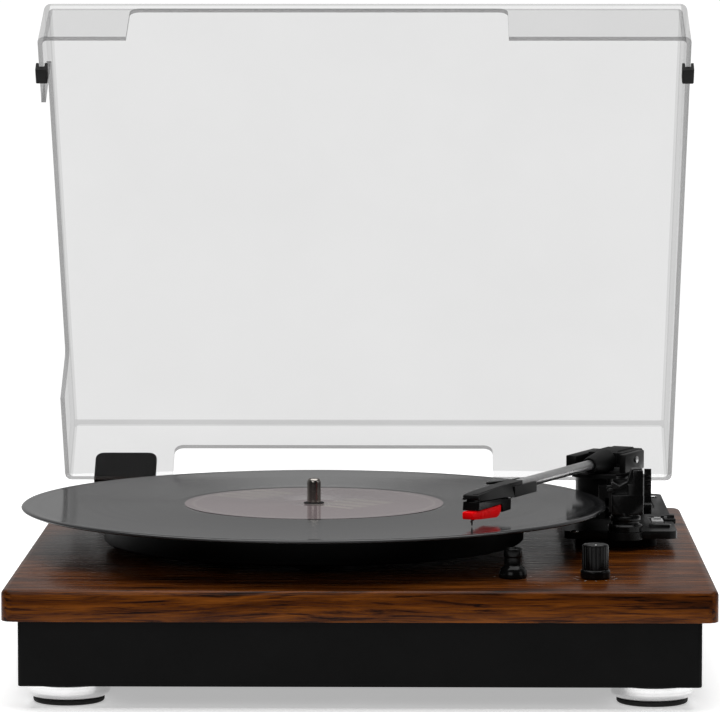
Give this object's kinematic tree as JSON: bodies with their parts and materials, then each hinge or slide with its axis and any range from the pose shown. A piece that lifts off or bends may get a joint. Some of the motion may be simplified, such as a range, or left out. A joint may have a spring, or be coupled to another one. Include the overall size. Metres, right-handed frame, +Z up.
{
  "type": "turntable record player",
  "caption": "Belt-drive turntable: wood-topped black plinth on round feet, record on its platter, straight tonearm unit with cue lever, two knobs and a hinged clear lid.",
  "frame": {"origin": "centre of the bounding box with the lid open, at the height of the surface it stands on", "axes": "+Z up, front towards -Y, tonearm on the +X side, lid hinged along X at the back"},
  "size_m": [0.3488, 0.3564, 0.3377],
  "materials": {
    "walnut": "gloss lacquer",
    "base_black": "satin",
    "black_plastic": "satin moulded",
    "foot_chrome": "polished",
    "black_rubber": "matte",
    "steel": "turned",
    "brass": "turned",
    "aluminium": "satin",
    "platter_black": "satin black paint",
    "vinyl": "grooved gloss",
    "grey_cap": "satin",
    "stylus_red": "gloss",
    "board_green": "solder mask",
    "clear_acrylic": "clear gloss"
  },
  "bodies": {
    "plinth": {"top_board": "walnut", "base_frame": "base_black", "bottom_cover": "base_black", "foot_front_left": "foot_chrome", "foot_front_right": "foot_chrome", "foot_rear_left": "foot_chrome", "foot_rear_right": "foot_chrome", "foot_pad_front_left": "black_rubber", "foot_pad_front_right": "black_rubber", "foot_pad_rear_left": "black_rubber", "foot_pad_rear_right": "black_rubber", "jack_panel": "black_plastic", "phono_sockets": "black_plastic", "dc_inlet": "black_plastic", "spindle": "steel", "spindle_flange": "steel", "motor": "steel", "motor_bracket": "steel", "drive_belt": "black_rubber", "main_board": "board_green", "selector_control": "steel", "volume_control": "steel", "arm_plate": "black_plastic", "arm_rest": "black_plastic", "pivot_pedestal": "black_plastic", "hinge_base_left": "black_plastic", "hinge_base_right": "black_plastic", "hinge_pin_left": "steel", "hinge_pin_right": "steel"},
    "lid": {"lid": "clear_acrylic", "hinge_leaf_left": "black_plastic", "hinge_leaf_right": "black_plastic", "bumper_left": "black_rubber", "bumper_right": "black_rubber"},
    "platter": {"platter": "platter_black", "platter_bush": "brass", "platter_mat": "black_rubber", "record": "vinyl"},
    "pulley": {"motor_pulley": "brass"},
    "arm_swing": {"pivot_shaft": "steel", "arm_yoke": "black_plastic", "pivot_pin_far": "steel", "pivot_pin_near": "steel"},
    "arm_tilt": {"arm_block": "black_plastic", "counterweight": "steel", "arm_collar": "black_plastic", "arm_tube": "aluminium", "headshell": "black_plastic", "finger_lift": "black_plastic", "cartridge": "black_plastic", "stylus": "stylus_red"},
    "cue_lever": {"cue_lever": "black_plastic"},
    "cue_bar": {"cue_bar": "black_plastic"},
    "selector": {"selector_knob": "black_plastic", "selector_shaft": "steel"},
    "volume": {"volume_knob": "black_plastic", "volume_shaft": "steel"},
    "speed_switch": {"speed_switch": "black_plastic"},
    "stop_switch": {"stop_switch": "grey_cap"},
    "arm_clip": {"arm_clip": "black_plastic"}
  },
  "joints": [
    {"name": "lid_hinge", "type": "hinge", "parent": "plinth", "child": "lid", "pos_m": [0.0019, 0.1528, 0.0661], "axis": [1, 0, 0], "range_deg": [0, 57.3]},
    {"name": "platter_spin", "type": "hinge", "parent": "plinth", "child": "platter", "pos_m": [-0.0239, -0.017, 0.0686], "axis": [0, 0, 1], "continuous": true},
    {"name": "pulley_spin", "type": "hinge", "parent": "plinth", "child": "pulley", "pos_m": [-0.07562, 0.04919, 0.0586], "axis": [0, 0, 1], "continuous": true},
    {"name": "tonearm_swing", "type": "hinge", "parent": "plinth", "child": "arm_swing", "pos_m": [0.1318, 0.0541, 0.0886], "axis": [0, 0, 1], "range_deg": [-22.7, 25.2]},
    {"name": "tonearm_lift", "type": "hinge", "parent": "arm_swing", "child": "arm_tilt", "pos_m": [0.1318, 0.0541, 0.0971], "axis": [-0.9114, 0.4115, 0], "range_deg": [0, 1.8]},
    {"name": "cue_lever_turn", "type": "hinge", "parent": "plinth", "child": "cue_lever", "pos_m": [0.1503, 0.02913, 0.0736], "axis": [1, 0, 0], "range_deg": [0, 60]},
    {"name": "cue_bar_lift", "type": "slide", "parent": "plinth", "child": "cue_bar", "axis": [0, 0, 1], "range_m": [0, 0.00079]},
    {"name": "selector_turn", "type": "hinge", "parent": "plinth", "child": "selector", "pos_m": [0.0764, -0.1312, 0.0636], "axis": [0, 0, 1], "range_deg": [-45, 45]},
    {"name": "volume_turn", "type": "hinge", "parent": "plinth", "child": "volume", "pos_m": [0.1167, -0.1322, 0.0636], "axis": [0, 0, 1], "range_deg": [-150, 150]},
    {"name": "speed_slide", "type": "slide", "parent": "plinth", "child": "speed_switch", "axis": [0, 1, 0], "range_m": [0, 0.008]},
    {"name": "stop_slide", "type": "slide", "parent": "plinth", "child": "stop_switch", "axis": [0, 1, 0], "range_m": [0, 0.01]},
    {"name": "clip_swing", "type": "hinge", "parent": "plinth", "child": "arm_clip", "pos_m": [0.1281, -0.0328, 0.0898], "axis": [0, 1, 0], "range_deg": [-80, 8]}
  ],
  "couplings": [
    {"joint": "pulley_spin", "follows": "platter_spin", "ratio": 10.45},
    {"joint": "cue_lever_turn", "follows": "tonearm_lift", "ratio": 33.3},
    {"joint": "cue_bar_lift", "follows": "tonearm_lift", "m_per_rad": 0.025}
  ]
}
